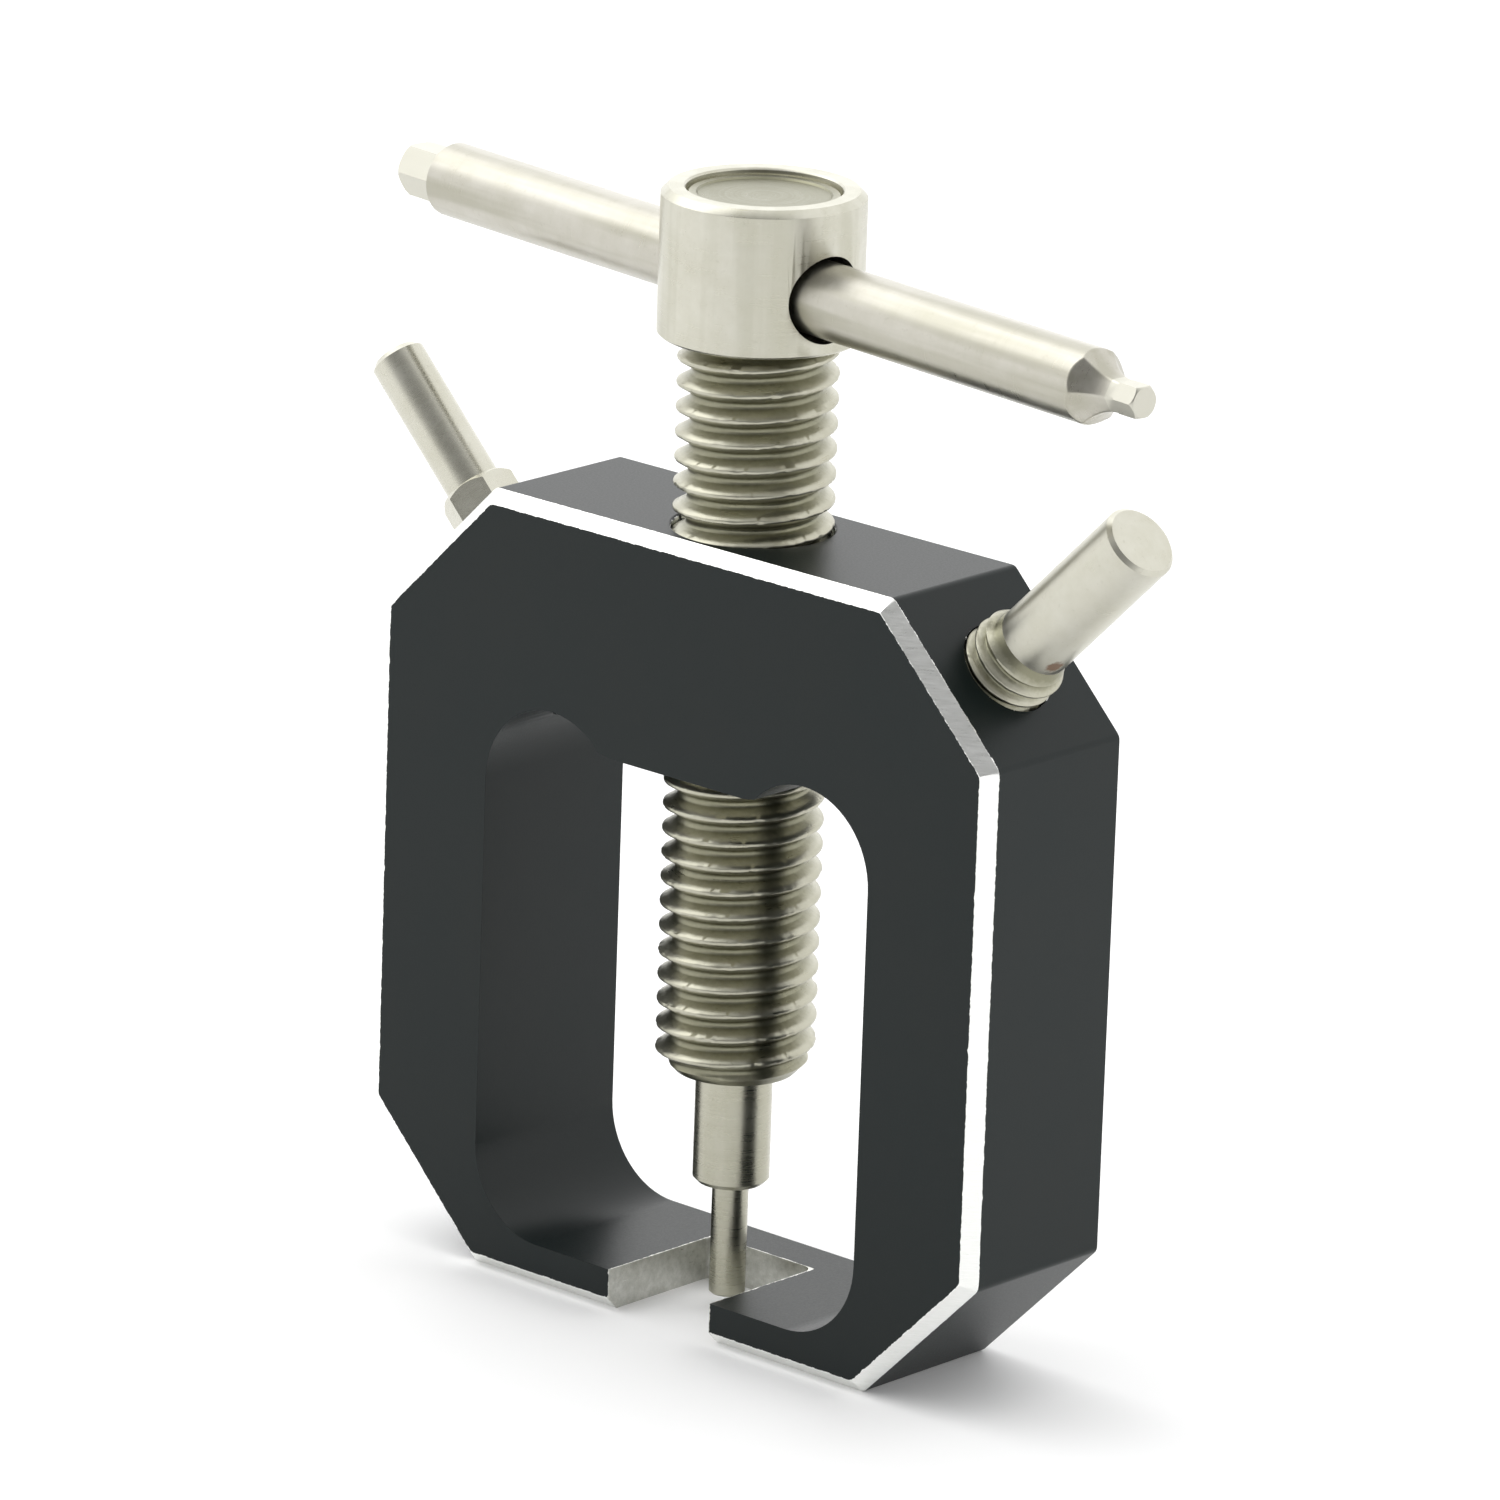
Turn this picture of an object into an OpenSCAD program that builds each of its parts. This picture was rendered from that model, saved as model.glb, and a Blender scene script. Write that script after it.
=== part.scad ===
// Pinion and gear puller: an eight-sided C frame with a forked foot, a press screw
// with a sliding tommy bar, a push pin in the screw and two spare pins on the shoulders.
// The tommy bar's two ends are hex keys.
// Millimetres. +Z is up along the press screw, -Y is the open front of the fork.
// The origin is on the screw's axis in the plane of the frame's underside.

/* [Frame] */
// Overall width of the frame
frame_w = 40; // [36:0.5:50]
// Overall height of the frame
frame_h = 40; // [36:0.5:50]
// Thickness of the frame, front to back
frame_d = 10; // [9:0.25:14]
// Leg of the 45-degree cut at each of the four corners
corner_cut = 7; // [6:0.25:8.5]
// Radius on the eight upright edges of the outline
corner_r = 0.5; // [0.3:0.1:2.5]
// Bevel around the front face, cut after the frame was blackened
front_bevel = 0.65; // [0.3:0.05:1]
// Broken edge around the back face
back_break = 0.6; // [0.2:0.05:1]
// Width of the window
window_w = 25.2; // [22:0.2:27]
// Radius of the cutter that leaves the window's four corners
window_r = 4.3; // [3:0.1:5]
// Thickness of the two jaws under the window
jaw_t = 2.15; // [1.5:0.05:3]
// Height of the bridge above the window, measured at the screw
bridge_t = 11.8; // [9:0.1:13]
// Width of the flat under the bridge, around the screw
boss_w = 8.8; // [8.4:0.1:10]
// How far the window's two ears rise above that flat
ear_rise = 1.5; // [1:0.1:2]
// Width of the slot between the jaws
slot_w = 6.7; // [5:0.1:8]
// Distance of the slot's flat end behind the screw's axis
slot_end = 2.6; // [1.8:0.1:3]
// Radius in the two inner corners of the slot
slot_r = 0.6; // [0.3:0.1:1.5]
// Sideways shift of the left storage hole, outward along its shoulder
left_hole_shift = 0.35; // [-0.5:0.05:0.5]

/* [Press screw] */
// Outside diameter of the main thread
thread_d = 7.9; // [7.2:0.05:8.4]
// Pitch of the main thread
thread_pitch = 1.25; // [1:0.05:1.5]
// Radial depth of the main thread
thread_depth = 0.7; // [0.5:0.05:0.8]
// Radial clearance of the main thread in the bridge
thread_clear = 0.05; // [0.02:0.01:0.1]
// Height of the head's underside above the top of the frame
head_rise = 9.6; // [8:0.1:16]
// Length of screw between its lower end and the head
screw_reach = 37.2; // [36.8:0.1:42]
// Diameter of the screw's upper end inside the head
neck_d = 7.6; // [7.2:0.05:8.4]
// How far the screw's end lies below the rim of the head
neck_drop = 0.3; // [0.1:0.05:0.5]
// Diameter of the head
head_d = 10; // [9.6:0.1:12]
// Height of the head
head_h = 7.3; // [6.4:0.1:9]
// Bevel around the head's upper rim
head_bevel = 0.35; // [0.1:0.05:0.6]
// Radial clearance of the tommy bar in its cross hole
cross_clear = 0.3; // [0.05:0.05:0.5]
// Metal left between the cross hole and the underside of the head
cross_floor = 0.6; // [0.5:0.05:1.5]

/* [Tommy bar] */
// Diameter of the tommy bar
bar_d = 3.7; // [3:0.05:4.1]
// Direction of the bar seen from above, from +X
bar_angle = -7.3; // [-180:0.1:180]
// Length of round bar on the large hex side of the screw's axis
bar_long = 23.7; // [18:0.1:28]
// Length of bar on the small hex side of the screw's axis, with its hex
bar_short = 27.4; // [22:0.1:32]
// Size across flats of the small hex
small_af = 1.5; // [1.2:0.05:1.6]
// Straight length of the small hex
small_len = 1.35; // [1:0.05:4]
// Radius of the cutter that leaves a hollow behind each flat of the small hex
run_out_r = 2.6; // [1.8:0.1:4]
// Size across flats of the large hex
large_af = 2.5; // [2:0.05:2.8]
// Length of the large hex
large_len = 3; // [2:0.1:5]

/* [Pins] */
// Outside diameter of the thread on all three pins
shank_d = 4.8; // [4.4:0.05:5]
// Pitch of the pins' thread
shank_pitch = 0.8; // [0.7:0.05:0.9]
// Radial depth of the pins' thread
shank_depth = 0.42; // [0.3:0.02:0.5]
// Radial clearance of the pins' thread in its holes
shank_clear = 0.06; // [0.02:0.01:0.1]
// Number of thread turns on each pin
shank_turns = 7; // [5:1:8]
// Diameter of the push pin's body
push_d = 3.8; // [3.2:0.05:4.2]
// Length of the push pin's body below the screw
push_len = 5.85; // [4:0.05:7]
// Diameter of the push pin's tip
tip_d = 1.8; // [1.2:0.05:2.4]
// Length of the push pin's tip
tip_len = 5.85; // [4:0.05:7]
// Diameter of the plain spare pin's body
plain_d = 3.8; // [3.2:0.05:4.2]
// Length of the plain spare pin above its thread
plain_len = 8.9; // [6:0.1:12]
// Length of thread left out of the hole by the plain spare pin
plain_out = 2.4; // [0.8:0.1:3]
// Diameter of the collared spare pin's body
slim_d = 2.8; // [2:0.05:3.2]
// Length of the collared spare pin above its collar
slim_len = 8; // [6:0.1:12]
// Size across flats of the hexagonal collar
collar_af = 3.5; // [3.2:0.05:4]
// Height of the hexagonal collar
collar_h = 2.55; // [1.5:0.05:4]

/* [Hidden] */
$fn = 96;
black = [0.12, 0.125, 0.13];
steel = [0.72, 0.71, 0.66];
over = 1;                                    // how far a cutting solid runs past a face
root2 = sqrt(2);
main_bore_d = thread_d + 2 * thread_clear;
shank_hole_d = shank_d + 2 * shank_clear;
boss_z = frame_h - bridge_t;                 // underside of the bridge at the screw
ear_x = window_w / 2 - window_r;             // centres of the window's corners
ear_z = boss_z + ear_rise - window_r;
low_z = jaw_t + window_r;
// the sloping flank from the flat to each ear is tangent to the ear's arc
flank_dx = ear_x - boss_w / 2;
flank_dz = boss_z - ear_z;
flank_turn = 180 - atan2(flank_dz, flank_dx) - acos(window_r / norm([flank_dx, flank_dz]));
corners = [[-frame_w / 2 + corner_cut, frame_h], [frame_w / 2 - corner_cut, frame_h],
    [frame_w / 2, frame_h - corner_cut], [frame_w / 2, corner_cut],
    [frame_w / 2 - corner_cut, 0], [-frame_w / 2 + corner_cut, 0],
    [-frame_w / 2, corner_cut], [-frame_w / 2, frame_h - corner_cut]];
corner_steps = 3;                            // flats that round each of the eight corners
// the outline with its corners rounded, clockwise from the top left corner
outline = [for (i = [0:7], t = [0:corner_steps])
    let (mid = 112.5 - 45 * i, a = mid + 22.5 - 45 * t / corner_steps)
    corners[i] + corner_r * ([cos(a), sin(a)] - [cos(mid), sin(mid)] / cos(22.5))];
shoulder_x = (frame_w - corner_cut) / 2;     // middle of each upper 45-degree face
shoulder_z = frame_h - corner_cut / 2;
// storage holes run through into the ears
hole_len = (shoulder_x - ear_x + shoulder_z - ear_z) / root2;
screw_crest = 1.01;                          // lowest thread crest above the screw's end
screw_turns = floor((screw_reach - screw_crest) / thread_pitch + 0.45);
head_z = frame_h + head_rise;
screw_low = head_z - screw_reach;
cross_d = bar_d + 2 * cross_clear;
cross_z = head_z + cross_floor + cross_d / 2;
shank_len = shank_turns * shank_pitch;
shank_hole_depth = shank_len + 0.6;
run_out_step = 8;                            // degrees of the cutter's arc to each of its flats

// Closed rings of a 60-degree thread profile, as [radius, height] points from z up
function rings(r, depth, pitch, z, turns) =
    [for (k = [0:turns - 1], s = [-1, 1], e = [0, 1])
        let (mid = z + (k + 0.5) * pitch, crest = pitch / 16, flank = depth * tan(30))
        s < 0 ? [r - depth + e * depth, mid - crest - (1 - e) * flank]
              : [r - e * depth, mid + crest + e * flank]];

// A bar of the outline's plan, lying front to back
module prism(points, y0, y1) {
    translate([0, y1, 0])
        rotate([90, 0, 0])
            linear_extrude(y1 - y0)
                polygon(points);
}

// Takes a bevel of width b off the edge from p to q in the plane y
module edge_cut(p, q, y, turn, b) {
    a = atan2(q[1] - p[1], q[0] - p[0]);
    reach = norm(q - p) + 4;
    translate([(p[0] + q[0]) / 2, y, (p[1] + q[1]) / 2])
        rotate([0, -a, 0])
            rotate([turn, 0, 0])
                translate([-reach / 2, -2, -b / root2])
                    cube([reach, 4, 4]);
}

// A round hole through the frame front to back
module through(x, z, r) {
    translate([x, 0, z])
        rotate([90, 0, 0])
            cylinder(r = r, h = frame_d + 2 * over, center = true);
}

module window() {
    y = frame_d / 2 + over;
    translate([-window_w / 2, -y, low_z])
        cube([window_w, 2 * y, ear_z - low_z]);
    translate([-ear_x, -y, jaw_t])
        cube([2 * ear_x, 2 * y, boss_z - jaw_t]);
    for (s = [-1, 1]) {
        through(s * ear_x, low_z, window_r);
        through(s * ear_x, ear_z, window_r);
        prism([[s * boss_w / 2, boss_z],
            [s * (ear_x - window_r * cos(flank_turn)), ear_z + window_r * sin(flank_turn)],
            [s * ear_x, ear_z]], -y, y);
    }
}

// Puts a child's Z axis on a storage hole: side -1 is left, 1 is right
module on_shoulder(side) {
    shift = (side < 0 ? left_hole_shift : 0) / root2;
    translate([side * (shoulder_x + shift), 0, shoulder_z - shift])
        rotate([0, side * 45, 0])
            children();
}

// The slot between the jaws, flat at its inner end and round in its two inner corners
module slot() {
    y = slot_end - slot_r;
    h = jaw_t + 2 * over;
    translate([-slot_w / 2, -frame_d / 2 - over, -over])
        cube([slot_w, frame_d / 2 + over + y, h]);
    translate([-slot_w / 2 + slot_r, y - over, -over])
        cube([slot_w - 2 * slot_r, slot_r + over, h]);
    for (s = [-1, 1])
        translate([s * (slot_w / 2 - slot_r), y, -over])
            cylinder(r = slot_r, h = h);
}

module frame() {
    color(black)
        difference() {
            prism(outline, -frame_d / 2, frame_d / 2);
            for (i = [0:len(outline) - 1]) {
                edge_cut(outline[i], outline[(i + 1) % len(outline)], -frame_d / 2, 45, front_bevel);
                edge_cut(outline[i], outline[(i + 1) % len(outline)], frame_d / 2, -45, back_break);
            }
            window();
            slot();
            // bore for the press screw, with a small countersink on top
            translate([0, 0, boss_z - over])
                cylinder(d = main_bore_d, h = bridge_t + 2 * over);
            translate([0, 0, frame_h - 0.1])
                cylinder(d1 = main_bore_d, d2 = main_bore_d + 0.4, h = 0.2);
            for (s = [-1, 1])
                on_shoulder(s)
                    translate([0, 0, -hole_len])
                        cylinder(d = shank_hole_d, h = hole_len + over);
        }
}

// The length of rod from its lower end to the face seen in the head's recess
module press_screw() {
    r = thread_d / 2;
    root = r - thread_depth;
    top = screw_reach + head_h - neck_drop;
    body = concat([[0, 0], [root - 0.25, 0]],
        rings(r, thread_depth, thread_pitch, screw_crest - thread_pitch / 2, screw_turns),
        [[root, screw_reach], [neck_d / 2, screw_reach], [neck_d / 2, top - 0.15], [neck_d / 2 - 0.15, top],
        [neck_d / 2 - 0.5, top], [neck_d / 2 - 0.6, top - 0.1], [0, top - 0.1]]);
    color(steel)
        difference() {
            translate([0, 0, screw_low])
                rotate_extrude()
                    polygon(body);
            translate([0, 0, screw_low - over])
                cylinder(d = shank_hole_d, h = shank_hole_depth + over);
            cross_hole();
        }
}

// Lays a child's Z axis along the tommy bar, from the screw's axis to the small hex
module along_bar() {
    translate([0, 0, cross_z])
        rotate([0, 0, bar_angle])
            rotate([0, 90, 0])
                children();
}

module cross_hole() {
    along_bar()
        cylinder(d = cross_d, h = head_d + 4, center = true);
}

module screw_head() {
    r = head_d / 2;
    n = neck_d / 2;
    color(steel)
        difference() {
            translate([0, 0, head_z])
                rotate_extrude()
                    polygon([[n, 0], [r - 0.12, 0], [r, 0.12], [r, head_h - head_bevel], [r - head_bevel, head_h],
                        [n + 0.1, head_h], [n, head_h - 0.1]]);
            cross_hole();
        }
}

// A six-sided bar with the given size across flats
module hex_prism(af, h) {
    rotate([0, 0, 30])
        cylinder(d = af / cos(30), h = h, $fn = 6);
}

// What one pass of a round cutter takes off to leave a flat of the small hex
module flat_pass() {
    z = bar_short - small_len;
    c = small_af / 2 + run_out_r;
    arc = [for (t = [0:run_out_step:72]) [c - run_out_r * cos(t), z - run_out_r * sin(t)]];
    rotate([90, 0, 0])
        translate([0, 0, -bar_d / 2])
            linear_extrude(bar_d)
                polygon(concat([[c, bar_short + over], [small_af / 2, bar_short + over]], arc,
                    [[c, arc[len(arc) - 1][1]]]));
}

module tommy_bar() {
    r = bar_d / 2;
    s = small_af / 2 / cos(30);
    g = large_af / 2 / cos(30);
    color(steel)
        along_bar()
            union() {
                difference() {
                    rotate_extrude()
                        polygon([[0, -bar_long], [r - 0.25, -bar_long], [r, -bar_long + 0.25],
                            [r, bar_short - small_len], [s + 0.1, bar_short - 0.25], [s - 0.15, bar_short],
                            [0, bar_short]]);
                    for (i = [0:5])
                        rotate([0, 0, i * 60])
                            flat_pass();
                }
                translate([0, 0, -bar_long])
                    mirror([0, 0, 1])
                        intersection() {
                            translate([0, 0, -1])
                                hex_prism(large_af, large_len + 1);
                            rotate_extrude()
                                polygon([[0, -1], [g + 0.1, -1], [g + 0.1, large_len - 0.75],
                                    [g - 0.1, large_len - 0.4], [g - 0.5, large_len - 0.1],
                                    [g - 0.8, large_len], [0, large_len]]);
                        }
            }
}

module push_pin() {
    r = push_d / 2;
    t = tip_d / 2;
    s = shank_d / 2;
    body = tip_len + push_len;
    color(steel)
        translate([0, 0, screw_low - body])
            rotate_extrude()
                polygon(concat([[0, 0], [t - 0.1, 0], [t, 0.1], [t, tip_len], [r - 0.25, tip_len], [r, tip_len + 0.25],
                    [r, body + 0.1]],
                    rings(s, shank_depth, shank_pitch, body + 0.1, shank_turns),
                    [[s - shank_depth, body + 0.15 + shank_len], [0, body + 0.15 + shank_len]]));
}

module spare_pin_plain() {
    r = plain_d / 2;
    s = shank_d / 2;
    low = plain_out - shank_len - 2 * shank_pitch;
    color(steel)
        on_shoulder(1)
            rotate_extrude()
                polygon(concat([[0, low - 0.2], [s - shank_depth - 0.2, low - 0.2]],
                    rings(s, shank_depth, shank_pitch, low, shank_turns + 1),
                    rings(s - 0.2, shank_depth - 0.2, shank_pitch, plain_out - shank_pitch, 1),
                    [[r, plain_out], [r, plain_out + plain_len - 0.2], [r - 0.2, plain_out + plain_len],
                    [0, plain_out + plain_len]]));
}

module spare_pin_collared() {
    r = slim_d / 2;
    s = shank_d / 2;
    c = collar_af / 2 / cos(30);
    low = -shank_len - 0.1;
    color(steel)
        on_shoulder(-1)
            union() {
                rotate_extrude()
                    polygon(concat([[0, low - 0.2], [s - shank_depth - 0.2, low - 0.2]],
                        rings(s, shank_depth, shank_pitch, low, shank_turns),
                        [[r, 0], [r, collar_h + slim_len - 0.3], [r - 0.3, collar_h + slim_len],
                        [0, collar_h + slim_len]]));
                intersection() {
                    translate([0, 0, -0.2])
                        hex_prism(collar_af, collar_h + 0.2);
                    translate([0, 0, -0.2])
                        cylinder(r1 = c + 1.2 + collar_h / 2, r2 = collar_af / 2 - 0.05, h = collar_h + 0.2);
                }
            }
}

frame();
press_screw();
screw_head();
tommy_bar();
push_pin();
spare_pin_plain();
spare_pin_collared();
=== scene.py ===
import math

import bmesh
import bpy
from mathutils import Matrix, Vector, noise


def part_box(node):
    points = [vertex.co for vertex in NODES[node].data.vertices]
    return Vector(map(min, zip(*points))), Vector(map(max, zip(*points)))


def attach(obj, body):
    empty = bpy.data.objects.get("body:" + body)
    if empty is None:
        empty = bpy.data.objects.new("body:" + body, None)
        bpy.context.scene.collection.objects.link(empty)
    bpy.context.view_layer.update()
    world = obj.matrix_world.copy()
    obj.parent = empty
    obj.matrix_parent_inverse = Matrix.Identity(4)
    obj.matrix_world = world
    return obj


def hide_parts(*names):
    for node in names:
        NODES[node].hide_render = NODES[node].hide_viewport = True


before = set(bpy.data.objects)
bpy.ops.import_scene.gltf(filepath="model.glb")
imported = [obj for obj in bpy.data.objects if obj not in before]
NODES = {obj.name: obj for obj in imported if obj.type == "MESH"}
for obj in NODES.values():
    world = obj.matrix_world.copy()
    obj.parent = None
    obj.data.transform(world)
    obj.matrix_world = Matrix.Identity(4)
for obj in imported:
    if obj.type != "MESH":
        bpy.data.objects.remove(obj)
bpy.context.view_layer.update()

MM = 0.001

# ---------------------------------------------------------------- sizes, in millimetres
frame_lo, frame_hi = (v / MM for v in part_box("frame"))
frame_w = frame_hi.x - frame_lo.x
frame_h = frame_hi.z
frame_d = frame_hi.y - frame_lo.y
corner_cut = 7.0  # each leg of the outline's corner cuts
front_bevel = 0.65
corner_blend = 0.248  # rounds the inner line of the bevel at the eight corners
slot_w = 6.7
slot_end = 2.6  # flat end of the slot, behind the screw's axis
slot_top = 3.0  # only below this height can a wall belong to the slot
bore_r = 4.0
hole_r = 2.46  # threaded holes for the pins
hole_reach = 12.0  # how far in along a shoulder's hole its wall is bare
boss_z = 28.2

rod_lo, rod_hi = (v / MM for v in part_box("press_screw"))
screw_low = rod_lo.z
head_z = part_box("screw_head")[0].z / MM
rod_r = (rod_hi.x - rod_lo.x) / 2
rod_pitch = 1.25
rod_depth = 0.7
crest_z = 47.16  # a crest is at this height on the side of the next angle
crest_angle = math.radians(221.7)

pin_pitch = 0.8
pin_depth = 0.42
pin_r = 2.4
pin_turns = 7
plain_out = 2.4  # thread of the plain spare pin that stands out of its hole
collar_cut = 0.15  # the collared pin's CAD faces deeper than this in the shoulder are replaced
push_cut = 0.05  # the same for the push pin, in the screw's end
push_start = 0.15  # where the push pin's helix starts in the screw's end

bar_z = 52.35
bar_turn = math.radians(-7.3)
bar_ends = (-23.7, 25.6)  # along the bar: the two hex ends lie beyond these
nose = (22.0, 26.6)  # along X: the hollows behind the small hex
shoulder = (frame_w - corner_cut) / 2
shoulder_up = frame_h - corner_cut / 2
left_shift = 0.35 / math.sqrt(2)
stain_at = (19.98, -0.59, 37.42)

steel_tone = (0.56, 0.55, 0.48)
thread_tone = (0.46, 0.45, 0.37)
push_tone = (0.48, 0.47, 0.395)
bar_tone = (0.5, 0.485, 0.435)


# ---------------------------------------------------------------- mesh helpers
def cad_bmesh(node):
    """A welded copy of a CAD node's mesh, with its flat faces made whole."""
    bm = bmesh.new()
    bm.from_mesh(NODES[node].data)
    bm.transform(NODES[node].matrix_world)
    bmesh.ops.remove_doubles(bm, verts=bm.verts, dist=2e-6)
    bmesh.ops.dissolve_limit(bm, angle_limit=math.radians(0.4), verts=bm.verts, edges=bm.edges)
    return bm


def finish_mesh(bm, name, body, replaced, smooth=30, weighted=True):
    """Turns a bmesh into a piece that rides on a CAD body."""
    bmesh.ops.recalc_face_normals(bm, faces=bm.faces)
    limit = math.radians(smooth)
    for f in bm.faces:
        f.smooth = True
    for e in bm.edges:
        e.smooth = not (len(e.link_faces) == 2 and e.calc_face_angle(0) > limit)
    me = bpy.data.meshes.new(name)
    bm.to_mesh(me)
    bm.free()
    ob = bpy.data.objects.new(name, me)
    bpy.context.scene.collection.objects.link(ob)
    if weighted:
        mod = ob.modifiers.new("normals", "WEIGHTED_NORMAL")
        mod.keep_sharp = True
        mod.weight = 80
    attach(ob, body)
    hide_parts(*replaced)
    return ob


def soften(bm, width, angle=28, segments=2, keep=None):
    """Rounds every edge sharper than the angle by the width."""
    limit = math.radians(angle)
    edges = [e for e in bm.edges if len(e.link_faces) == 2 and e.calc_face_angle(0) > limit]
    if keep:
        edges = [e for e in edges if keep(e)]
    bmesh.ops.bevel(bm, geom=edges, offset=width * MM, offset_type="OFFSET", segments=segments,
                    profile=0.5, affect="EDGES", clamp_overlap=True, miter_outer="ARC")


def thread_profile(r, depth, pitch):
    """One pitch of a 60 degree thread as (height, radius), from one crest to just before the next."""
    flank = depth * math.tan(math.radians(30))
    crest = pitch / 16
    root = pitch / 2 - crest - flank
    k = depth / rod_depth  # the roundings below are drawn for the press screw's thread
    half = [(0.0, r), (crest * 0.6, r - 0.004 * k), (crest + 0.02 * k, r - 0.028 * k),
            (crest + flank * 0.5, r - depth * 0.5), (crest + flank - 0.035 * k, r - depth + 0.06 * k),
            (crest + flank + root * 0.3, r - depth + 0.008 * k), (pitch / 2, r - depth)]
    back = [(pitch - h, rr) for h, rr in reversed(half[1:-1])]
    return half + back


def helix(bm, r, depth, pitch, z0, z1, crest, angle, place, chamfer0=0.0, chamfer1=0.0, steps=96,
          wear=0.0, seed=0.0, inner=0.0):
    """Adds a right-hand external thread from z0 to z1, in millimetres along the place matrix's Z.

    One crest is at the height crest on the side angle. The chamfers are the lengths over which the ends
    run out, wear is the depth of the worn places, and inner is the radius of a hole in the z0 end.
    """
    below = 0.25  # the run-outs start this far below the root
    worn = depth * 0.55  # only this outer part of the thread wears
    wall = 1.2  # depth of the hole's wall that can be seen
    prof = thread_profile(r, depth, pitch)
    per = len(prof)
    first = math.floor((z0 - crest) / pitch) - 1
    last = math.ceil((z1 - crest) / pitch) + 1
    turns = last - first
    root = r - depth

    def radius(h):
        u = (h / pitch) % 1.0 * pitch
        for (h0, r0), (h1, r1) in zip(prof, prof[1:] + [(pitch, r)]):
            if h0 <= u <= h1:
                return r0 + (r1 - r0) * (u - h0) / (h1 - h0)
        return r

    def vertex(i, k, j):
        a = 2 * math.pi * i / steps
        lead = pitch * (a - angle) / (2 * math.pi)
        h = (first + k) * pitch + prof[j][0]
        z = crest + lead + h
        rr = prof[j][1]
        if z < z0 or z > z1:
            z = min(max(z, z0), z1)
            rr = radius(z - crest - lead)
        if wear and rr > r - worn:
            p = Vector((math.cos(a) * r, math.sin(a) * r, z)) * 1.6 + Vector((seed, 0, 0))
            n = noise.noise(p) * 0.5 + noise.noise(p * 3.1) * 0.5
            rr -= wear * max(0.0, n - 0.05) * (rr - (r - worn)) / worn
        if chamfer0:
            rr = min(rr, root - below + (z - z0) * (depth + below) / chamfer0)
        if chamfer1:
            rr = min(rr, root - below + (z1 - z) * (depth + below) / chamfer1)
        return place @ (Vector((math.cos(a) * rr, math.sin(a) * rr, z)) * MM)

    rows = [[bm.verts.new(vertex(i, k, j)) for k in range(turns) for j in range(per)]
            for i in range(steps)]
    n = turns * per
    for i in range(steps):
        a = rows[i]
        b = rows[(i + 1) % steps]
        jump = per if i == steps - 1 else 0  # a full turn has climbed by one pitch
        for q in range(n - 1 - jump):
            bm.faces.new((a[q], b[q + jump], b[q + 1 + jump], a[q + 1]))
    bmesh.ops.remove_doubles(bm, verts=[v for row in rows for v in row], dist=1e-6)
    back = place.inverted()
    # close the two open ends with a flat ring or disc
    for z_end, hollow in ((z0, inner), (z1, 0.0)):
        rim = [e for e in bm.edges if e.is_boundary
               and all(abs((back @ v.co).z / MM - z_end) < 1e-3 for v in e.verts)]
        if not rim:
            continue
        if hollow:
            ring = bmesh.ops.extrude_edge_only(bm, edges=rim)
            verts = [g for g in ring["geom"] if isinstance(g, bmesh.types.BMVert)]
            for v in verts:
                p = back @ v.co
                s = hollow * MM / math.hypot(p.x, p.y)
                v.co = place @ Vector((p.x * s, p.y * s, p.z))
            edges = [g for g in ring["geom"] if isinstance(g, bmesh.types.BMEdge)]
            tube = bmesh.ops.extrude_edge_only(bm, edges=edges)
            axis = (place.to_3x3() @ Vector((0, 0, 1))).normalized()
            for g in tube["geom"]:
                if isinstance(g, bmesh.types.BMVert):
                    g.co += axis * wall * MM
        else:
            bmesh.ops.contextual_create(bm, geom=rim)


def drop(bm, test):
    """Removes the faces of a copied CAD mesh whose every corner passes the test."""
    faces = [f for f in bm.faces if all(test(v.co / MM) for v in f.verts)]
    bmesh.ops.delete(bm, geom=faces, context="FACES")


def shoulder_place(sign, shift):
    """The place of a spare pin's own axes on the right (1) or left (-1) shoulder."""
    m = Matrix.Rotation(sign * math.radians(45), 4, "Y")
    return Matrix.Translation(Vector((sign * (shoulder + shift), 0, shoulder_up - shift)) * MM) @ m


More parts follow.
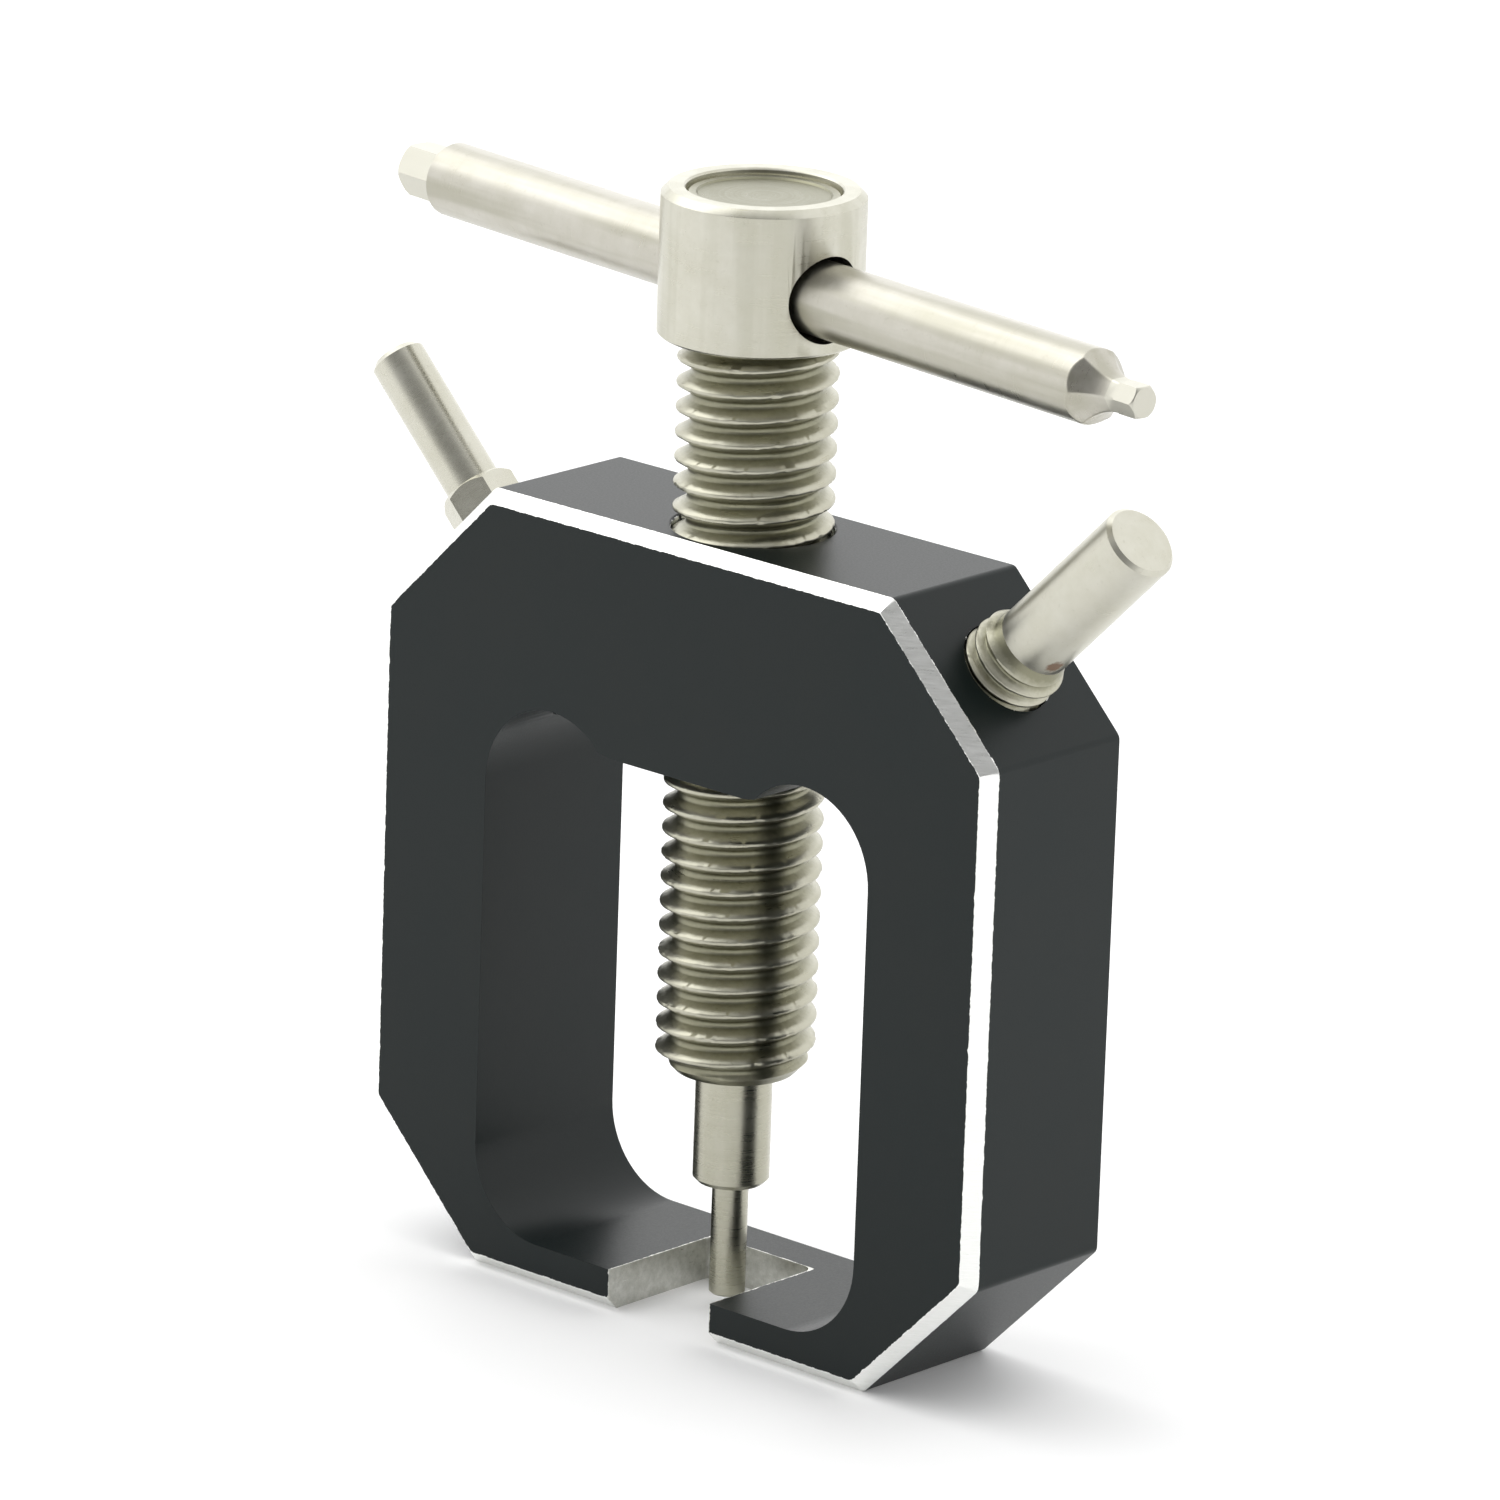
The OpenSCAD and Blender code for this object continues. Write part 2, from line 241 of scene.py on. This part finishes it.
# ---------------------------------------------------------------- node helpers
class Graph:
    """Short names for building a node tree."""

    def __init__(self, name):
        self.mat = bpy.data.materials.new(name)
        self.mat.use_nodes = True
        self.tree = self.mat.node_tree
        self.bsdf = self.tree.nodes["Principled BSDF"]

    def new(self, kind, **props):
        n = self.tree.nodes.new(kind)
        for k, v in props.items():
            setattr(n, k, v)
        return n

    def put(self, socket, value):
        if isinstance(value, bpy.types.NodeSocket):
            self.tree.links.new(value, socket)
        elif isinstance(value, (tuple, list)) and len(value) == 3 and socket.type == "RGBA":
            socket.default_value = (*value, 1)
        else:
            socket.default_value = value

    def math(self, op, a, b=0.0, c=0.0):
        n = self.new("ShaderNodeMath", operation=op)
        for s, v in zip(n.inputs, (a, b, c)):
            self.put(s, v)
        return n.outputs[0]

    def vmath(self, op, a, b=(0, 0, 0), scale=None):
        n = self.new("ShaderNodeVectorMath", operation=op)
        self.put(n.inputs[0], a)
        if scale is not None:
            self.put(n.inputs["Scale"], scale)
        elif len(n.inputs) > 1:
            self.put(n.inputs[1], b)
        return n.outputs["Value"] if op in ("DOT_PRODUCT", "LENGTH", "DISTANCE") else n.outputs[0]

    def place(self, turn=(0, 0, 0), centre=(0, 0, 0), stretch=(1, 1, 1)):
        """The row-frame position in millimetres, moved to a piece's own axes."""
        tc = self.new("ShaderNodeTexCoord").outputs["Object"]
        mm = self.vmath("SCALE", tc, scale=1 / MM)
        off = self.vmath("SUBTRACT", mm, centre)
        m = self.new("ShaderNodeMapping", vector_type="POINT")
        self.put(m.inputs["Vector"], off)
        m.inputs["Rotation"].default_value = turn
        m.inputs["Scale"].default_value = stretch
        return m.outputs[0]

    def radius(self, x, y):
        """Distance from the Z axis."""
        return self.math("SQRT", self.math("ADD", self.math("MULTIPLY", x, x), self.math("MULTIPLY", y, y)))

    def noise(self, vec, scale, detail=3, rough=0.55):
        """Soft noise from 0 to 1, about scale lumps to a millimetre."""
        n = self.new("ShaderNodeTexNoise", noise_dimensions="3D")
        self.put(n.inputs["Vector"], vec)
        n.inputs["Scale"].default_value = scale
        n.inputs["Detail"].default_value = detail
        n.inputs["Roughness"].default_value = rough
        return n.outputs["Fac"]

    def span(self, value, a, b, lo=0.0, hi=1.0):
        """The value's range from a to b laid out from lo to hi, and held outside it."""
        n = self.new("ShaderNodeMapRange")
        self.put(n.inputs[0], value)
        for i, v in enumerate((a, b, lo, hi)):
            self.put(n.inputs[i + 1], v)
        return n.outputs[0]

    def mix(self, fac, a, b):
        n = self.new("ShaderNodeMix", data_type="RGBA")
        self.put(n.inputs[0], fac)
        self.put(n.inputs[6], a)
        self.put(n.inputs[7], b)
        return n.outputs[2]

    def bump(self, height, distance, strength, normal=None):
        """Relief of the height times the distance, in millimetres, on top of another normal."""
        n = self.new("ShaderNodeBump")
        n.inputs["Strength"].default_value = strength
        n.inputs["Distance"].default_value = distance * MM
        self.put(n.inputs["Height"], height)
        if normal is not None:
            self.put(n.inputs["Normal"], normal)
        return n.outputs[0]

    def split(self, vec):
        n = self.new("ShaderNodeSeparateXYZ")
        self.put(n.inputs[0], vec)
        return n.outputs

    def join(self, x, y, z):
        n = self.new("ShaderNodeCombineXYZ")
        for s, v in zip(n.inputs, (x, y, z)):
            self.put(s, v)
        return n.outputs[0]

    def set(self, **inputs):
        for k, v in inputs.items():
            self.put(self.bsdf.inputs[k.replace("_", " ")], v)


# ---------------------------------------------------------------- materials
def shade(tone, *factors):
    """A colour with its three channels scaled."""
    return tuple(c * f for c, f in zip(tone, factors))


def frame_material():
    """Black anodised aluminium, with bare metal where it was cut afterwards."""
    g = Graph("black_anodised")
    pos = g.place()
    x, y, z = g.split(pos)
    ax = g.math("ABSOLUTE", x)
    az = g.math("ABSOLUTE", g.math("SUBTRACT", z, frame_h / 2))
    diag = g.math("MULTIPLY", g.math("ADD", ax, az), math.sqrt(0.5))
    side = g.math("SUBTRACT", ax, frame_w / 2)
    cap = g.math("SUBTRACT", az, frame_h / 2)
    slant = g.math("SUBTRACT", diag, (frame_w / 2 + frame_h / 2 - corner_cut) * math.sqrt(0.5))
    out = g.math("SMOOTH_MAX", g.math("SMOOTH_MAX", side, slant, corner_blend), cap, corner_blend)
    ring = g.math("SUBTRACT", g.math("SUBTRACT", y, -frame_d / 2), out)  # the bevel's width, on the bevel
    ragged = g.noise(pos, 2.6, 4, 0.7)
    nick = g.noise(pos, 0.9, 2, 0.5)
    edge = g.math("ADD", front_bevel + 0.005, g.math("ADD", g.span(ragged, 0.45, 0.75, 0.0, 0.07),
                                                     g.span(nick, 0.62, 0.74, 0.0, 0.05)))
    bevel = g.math("LESS_THAN", ring, edge)
    # walls of the slot between the jaws
    slot = g.math("MAXIMUM", g.math("SUBTRACT", ax, slot_w / 2), g.math("SUBTRACT", y, slot_end))
    low = g.math("LESS_THAN", z, slot_top)
    wall = g.math("MULTIPLY", low, g.math("LESS_THAN", slot, g.span(ragged, 0.4, 0.8, 0.02, 0.14)))
    bare = g.math("MAXIMUM", bevel, wall)
    # threaded holes: bare inside, with chips out of the black round the mouth
    for sign, shift in ((1, 0.0), (-1, left_shift)):
        cx, cz = sign * (shoulder + shift), shoulder_up - shift
        off = g.vmath("SUBTRACT", pos, (cx, 0.0, cz))
        axis = (sign * math.sqrt(0.5), 0.0, math.sqrt(0.5))
        along = g.vmath("DOT_PRODUCT", off, axis)
        rad = g.vmath("LENGTH", g.vmath("SUBTRACT", off, g.vmath("SCALE", axis, scale=along)))
        chip = g.span(ragged, 0.5, 0.78, hole_r - 0.04, hole_r + 0.12)
        near = g.math("MULTIPLY", g.math("LESS_THAN", rad, chip), g.math("GREATER_THAN", along, -hole_reach))
        bare = g.math("MAXIMUM", bare, near)
    # the press screw's bore: bare at its mouths, in the bridge's top and under the boss
    rad = g.radius(x, y)
    chip = g.span(ragged, 0.45, 0.8, bore_r - 0.02, bore_r + 0.1)
    near = g.math("MULTIPLY", g.math("LESS_THAN", rad, chip), g.math("GREATER_THAN", z, boss_z - 0.3))
    bare = g.math("MAXIMUM", bare, near)

    # black with a fine grain, and cut metal with lines that the cutter left
    grain = g.noise(pos, 9.0, 4, 0.6)
    cloud = g.noise(pos, 0.16, 3, 0.55)
    black = g.mix(g.span(cloud, 0.35, 0.65), (0.0035, 0.0085, 0.0085), (0.0055, 0.0095, 0.009))
    black = g.mix(g.span(grain, 0.3, 0.7, 0.0, 0.5), black, (0.008, 0.012, 0.012))
    streak = g.noise(g.place(stretch=(1.2, 1.2, 14.0)), 1.0, 4, 0.6)
    metal = g.mix(g.span(streak, 0.3, 0.7), (0.86, 0.87, 0.84), (0.93, 0.935, 0.915))
    # painted shade: the slot's walls get a darker metal than the bevels, for the shade and dark reflections
    # inside the narrow slot
    metal = g.mix(wall, metal, g.mix(g.span(ragged, 0.3, 0.7), (0.5, 0.505, 0.46), (0.7, 0.7, 0.66)))
    g.set(Base_Color=g.mix(bare, black, metal), Metallic=bare)
    rough_b = g.span(grain, 0.2, 0.8, 0.3, 0.42)
    rough_m = g.span(streak, 0.3, 0.7, 0.26, 0.4)
    g.set(Roughness=g.math("ADD", g.math("MULTIPLY", rough_m, bare),
                           g.math("MULTIPLY", rough_b, g.math("SUBTRACT", 1.0, bare))))
    g.set(IOR=1.31)
    fine = g.bump(grain, 0.006, 0.5)
    step = g.bump(g.math("SUBTRACT", 1.0, bare), 0.02, 0.5, fine)
    lines = g.bump(g.math("MULTIPLY", streak, bare), 0.006, 0.5, step)
    g.set(Normal=lines)
    return g.mat


def steel_material(name, turned, rough, turn=(0, 0, 0), centre=(0, 0, 0), tone=steel_tone, axial=0.0,
                   dirt=0.25, root=None, painted_bands=0.0, ends=None, stain=None):
    """Turned steel. The part's own axis is Z after the turn; lathe lines run round it.

    turned and axial are the strengths of the lathe lines and of the lengthwise lines, dirt that of the dark
    spots, and painted_bands that of the painted reflection, dark stripes along the axis. root is the radii
    between which the painted shade in a thread's roots fades out, ends are the heights beyond which the
    steel is clean, and stain is the place of a rust stain.
    """
    g = Graph(name)
    p = g.place(turn, centre)
    x, y, z = g.split(p)
    rad = g.radius(x, y)
    # lathe lines: fine bands along the axis and across the radius, broken up a little round the axis
    band = g.noise(g.join(g.math("MULTIPLY", rad, 11.0), g.math("MULTIPLY", z, 11.0),
                          g.math("MULTIPLY", g.noise(p, 0.4, 2), 1.5)), 1.0, 4, 0.65)
    cloud = g.noise(p, 0.55, 4, 0.6)
    spot = g.noise(p, 3.2, 3, 0.6)
    col = g.mix(g.span(cloud, 0.3, 0.7), shade(tone, 0.9, 0.895, 0.86), shade(tone, 1.03, 1.03, 1.03))
    col = g.mix(g.span(spot, 0.62, 0.78, 0.0, dirt), col, shade(tone, 0.5, 0.48, 0.4))
    if painted_bands:
        # painted reflection: soft dark stripes along the axis, where a round part would reflect its darker
        # surroundings
        painted_stripe = g.noise(g.vmath("MULTIPLY", p, (0.9, 0.9, 0.05)), 1.0, 3, 0.5)
        col = g.mix(g.span(painted_stripe, 0.4, 0.6, 0.0, painted_bands), col, shade(tone, 0.68, 0.68, 0.6))
    if root:
        # painted shade: darker colour in the thread's roots, where shade falls between the crests
        root_shade = g.span(g.math("ADD", rad, g.span(spot, 0.3, 0.7, -0.06, 0.06)), root[0], root[1], 0.75, 0.0)
        col = g.mix(root_shade, col, shade(tone, 0.36, 0.36, 0.27))
    if ends:
        # the two hex ends are cleaner than the bar between them
        clean = g.math("MAXIMUM", g.math("LESS_THAN", z, ends[0]), g.math("GREATER_THAN", z, ends[1]))
        col = g.mix(g.math("MULTIPLY", clean, 0.85), col, steel_tone)
    r0 = g.span(cloud, 0.3, 0.7, rough[0], rough[1])
    r0 = g.math("ADD", r0, g.span(band, 0.3, 0.7, -0.04, 0.05))
    metal = 1.0
    if stain:
        near = g.math("ADD", g.vmath("DISTANCE", g.place(), stain), g.span(spot, 0.3, 0.7, -0.12, 0.12))
        rust = g.span(near, 0.5, 0.32, 0.0, 0.9)
        col = g.mix(rust, col, (0.13, 0.062, 0.025))
        r0 = g.math("ADD", r0, g.math("MULTIPLY", rust, 0.3))
        metal = g.math("SUBTRACT", 1.0, rust)
    g.set(Base_Color=col, Metallic=metal, Roughness=r0)
    n = g.bump(g.noise(p, 14.0, 3, 0.6), 0.003, 0.4)
    if root:
        n = g.bump(g.noise(p, 4.5, 4, 0.7), 0.03, 0.4, n)
    n = g.bump(band, 0.004, turned, n)
    if axial:
        draw = g.noise(g.vmath("MULTIPLY", p, (5.0, 5.0, 0.25)), 1.0, 3, 0.6)
        n = g.bump(draw, 0.006, axial, n)
    g.set(Normal=n)
    return g.mat


def pin_steel(name, sign, **look):
    """Steel with its lathe lines round the spare pin on the right (1) or left (-1) shoulder."""
    return steel_material(name, turn=(0, math.radians(-45 * sign), 0),
                          centre=(sign * shoulder, 0, shoulder_up), **look)


def assign(ob, mat):
    """Gives the whole piece one material."""
    ob.data.materials.clear()
    ob.data.materials.append(mat)
    for f in ob.data.polygons:
        f.material_index = 0


# ---------------------------------------------------------------- pieces
bm = cad_bmesh("frame")
soften(bm, 0.05)
frame_piece = finish_mesh(bm, "frame_body", "frame", ("frame",), smooth=24)
assign(frame_piece, frame_material())

# press screw: the CAD's face in the head's recess stays, the thread below it becomes a helix
upright = Matrix.Identity(4)
s_thread = steel_material("steel_thread", tone=thread_tone, turned=0.25, rough=(0.28, 0.36), dirt=0.5,
                          root=(rod_r - rod_depth, rod_r - 0.2))
bm = cad_bmesh("press_screw")
drop(bm, lambda c: c.z < head_z + 1e-4)
helix(bm, rod_r, rod_depth, rod_pitch, screw_low, head_z, crest_z, crest_angle, upright,
      chamfer0=1.0, chamfer1=0.5, steps=144, wear=0.15, inner=hole_r)
rod = finish_mesh(bm, "press_screw_rod", "screw", ("press_screw",), smooth=40, weighted=False)
assign(rod, s_thread)

# plain spare pin: its thread stands out of the right shoulder and has a steel of its own
right_place = shoulder_place(1, 0.0)
right_back = right_place.inverted()
s_right = pin_steel("steel_right_pin", 1, turned=0.3, axial=0.35, rough=(0.28, 0.36), stain=stain_at)
s_right_thread = pin_steel("steel_right_thread", 1, turned=0.2, rough=(0.28, 0.36), tone=thread_tone,
                           root=(pin_r - pin_depth, pin_r - 0.12))
bm = cad_bmesh("spare_pin_plain")
drop(bm, lambda c: (right_back @ (c * MM)).z / MM < plain_out + 1e-3)
helix(bm, pin_r, pin_depth, pin_pitch, plain_out - (pin_turns + 2) * pin_pitch, plain_out, 0.35, 0.0,
      right_place, chamfer0=0.6, chamfer1=1.0, wear=0.08, seed=7.0)
pin_plain = finish_mesh(bm, "spare_pin_plain_body", "spare_plain", ("spare_pin_plain",), smooth=40,
                        weighted=False)
assign(pin_plain, s_right)
pin_plain.data.materials.append(s_right_thread)
for f in pin_plain.data.polygons:
    if (right_back @ f.center).z / MM < plain_out - 0.02:
        f.material_index = 1

# collared spare pin: its thread is inside the left shoulder
left_place = shoulder_place(-1, left_shift)
left_back = left_place.inverted()
s_left = pin_steel("steel_left_pin", -1, turned=0.3, axial=0.35, rough=(0.24, 0.3))
bm = cad_bmesh("spare_pin_collared")
drop(bm, lambda c: (left_back @ (c * MM)).z / MM < -collar_cut)
helix(bm, pin_r, pin_depth, pin_pitch, -pin_turns * pin_pitch - 0.3, -0.1, 0.2, 0.0, left_place,
      chamfer0=0.6, chamfer1=0.3, wear=0.06, seed=3.0)
pin_collared = finish_mesh(bm, "spare_pin_collared_body", "spare_collared", ("spare_pin_collared",),
                           weighted=False)
assign(pin_collared, s_left)

# push pin: its thread is inside the screw's lower end
s_push = steel_material("steel_push_pin", turned=0.7, rough=(0.26, 0.32), tone=push_tone, painted_bands=0.25)
push_low = screw_low + push_start
bm = cad_bmesh("push_pin")
drop(bm, lambda c: c.z > screw_low + push_cut)
helix(bm, pin_r, pin_depth, pin_pitch, push_low, push_low + pin_turns * pin_pitch, screw_low, 0.0,
      upright, chamfer0=0.3, chamfer1=0.6)
pin_push = finish_mesh(bm, "push_pin_body", "pin_carrier", ("push_pin",), weighted=False)
assign(pin_push, s_push)

s_turn = steel_material("steel_turned", turned=0.6, rough=(0.27, 0.33), painted_bands=0.35)
bm = cad_bmesh("screw_head")
soften(bm, 0.05, angle=32)
head = finish_mesh(bm, "screw_head_body", "screw", ("screw_head",))
assign(head, s_turn)

# cross bar: wider roundings at the hollows behind the small hex than elsewhere
bar_axis = (Matrix.Rotation(math.radians(-90), 3, "Y") @ Matrix.Rotation(-bar_turn, 3, "Z")).to_euler()
s_bar = steel_material("steel_bar", turn=bar_axis, centre=(0, 0, bar_z), turned=0.45, axial=0.3,
                       rough=(0.28, 0.35), tone=bar_tone, painted_bands=0.6, ends=bar_ends)
bm = cad_bmesh("tommy_bar")
soften(bm, 0.12, angle=26, segments=3,
       keep=lambda e: all(nose[0] < v.co.x / MM < nose[1] for v in e.verts))
soften(bm, 0.04, angle=26)
bar = finish_mesh(bm, "tommy_bar_body", "bar", ("tommy_bar",), smooth=26)
assign(bar, s_bar)

# ---------------------------------------------------------------- floor, light and camera
floor_mesh = bpy.data.meshes.new("floor")
reach = 3.0  # metres, so that its rim is out of sight
floor_mesh.from_pydata([(-reach, -reach, 0), (reach, -reach, 0), (reach, reach, 0), (-reach, reach, 0)],
                       [], [(0, 1, 2, 3)])
floor = bpy.data.objects.new("floor", floor_mesh)
bpy.context.scene.collection.objects.link(floor)
g = Graph("floor_paper")
g.set(Base_Color=g.mix(g.noise(g.place(), 0.02, 2), (0.955, 0.955, 0.955), (0.97, 0.97, 0.97)),
      Roughness=0.75, Emission_Color=(1.0, 1.0, 1.0), Emission_Strength=0.05)
floor_mesh.materials.append(g.mat)

world = bpy.data.worlds.new("studio")
bpy.context.scene.world = world
world.use_nodes = True
wt = world.node_tree
direction = wt.nodes.new("ShaderNodeTexCoord").outputs["Generated"]


def patch(level, towards, inner, outer, value):
    """Sky of the given level, with a round patch of another value that fades from inner to outer degrees."""
    d = wt.nodes.new("ShaderNodeVectorMath")
    d.operation = "DOT_PRODUCT"
    wt.links.new(direction, d.inputs[0])
    d.inputs[1].default_value = Vector(towards).normalized()
    r = wt.nodes.new("ShaderNodeMapRange")
    r.interpolation_type = "SMOOTHSTEP"
    wt.links.new(d.outputs["Value"], r.inputs[0])
    r.inputs[1].default_value = math.cos(math.radians(outer))
    r.inputs[2].default_value = math.cos(math.radians(inner))
    m = wt.nodes.new("ShaderNodeMix")
    wt.links.new(r.outputs[0], m.inputs[0])
    if isinstance(level, float):
        m.inputs[2].default_value = level
    else:
        wt.links.new(level, m.inputs[2])
    m.inputs[3].default_value = value
    return m.outputs[0]


sky = 1.38
sky = patch(sky, (0.5, -0.75, 0.35), 15, 72, 0.33)  # a darker part round the camera
sky = patch(sky, (-0.64, -0.1, 0.75), 8, 36, 2.6)  # the lamp, high on the left
sky = patch(sky, (-0.64, 0.71, 0.29), 4, 30, 1.72)  # a lighter part opposite the camera
wt.links.new(sky, wt.nodes["Background"].inputs["Strength"])
wt.nodes["Background"].inputs["Color"].default_value = (1, 1, 1, 1)

# the camera, fitted to the photo: angles in degrees, lengths in millimetres
azimuth, elevation, roll = (math.radians(v) for v in (41.748, 16.745, 1.978))
target = Vector((0.3, 0, 28.727)) * MM
distance = 553.02
cam = bpy.data.cameras.new("camera")
cam.lens = 272.6
cam.sensor_width = 36
cam.clip_end = 20
cam_ob = bpy.data.objects.new("camera", cam)
bpy.context.scene.collection.objects.link(cam_ob)
right = Vector((math.cos(azimuth), math.sin(azimuth), 0))
back = Vector((math.sin(azimuth) * math.cos(elevation), -math.cos(azimuth) * math.cos(elevation),
               math.sin(elevation)))
up = back.cross(right)
right_r = right * math.cos(roll) + up * math.sin(roll)
up_r = up * math.cos(roll) - right * math.sin(roll)
eye = target + back * distance * MM
cam_ob.matrix_world = Matrix((
    (right_r.x, up_r.x, back.x, eye.x), (right_r.y, up_r.y, back.y, eye.y),
    (right_r.z, up_r.z, back.z, eye.z), (0, 0, 0, 1)))
bpy.context.scene.camera = cam_ob

view = bpy.context.scene.view_settings
view.view_transform = "Standard"
view.look = "None"
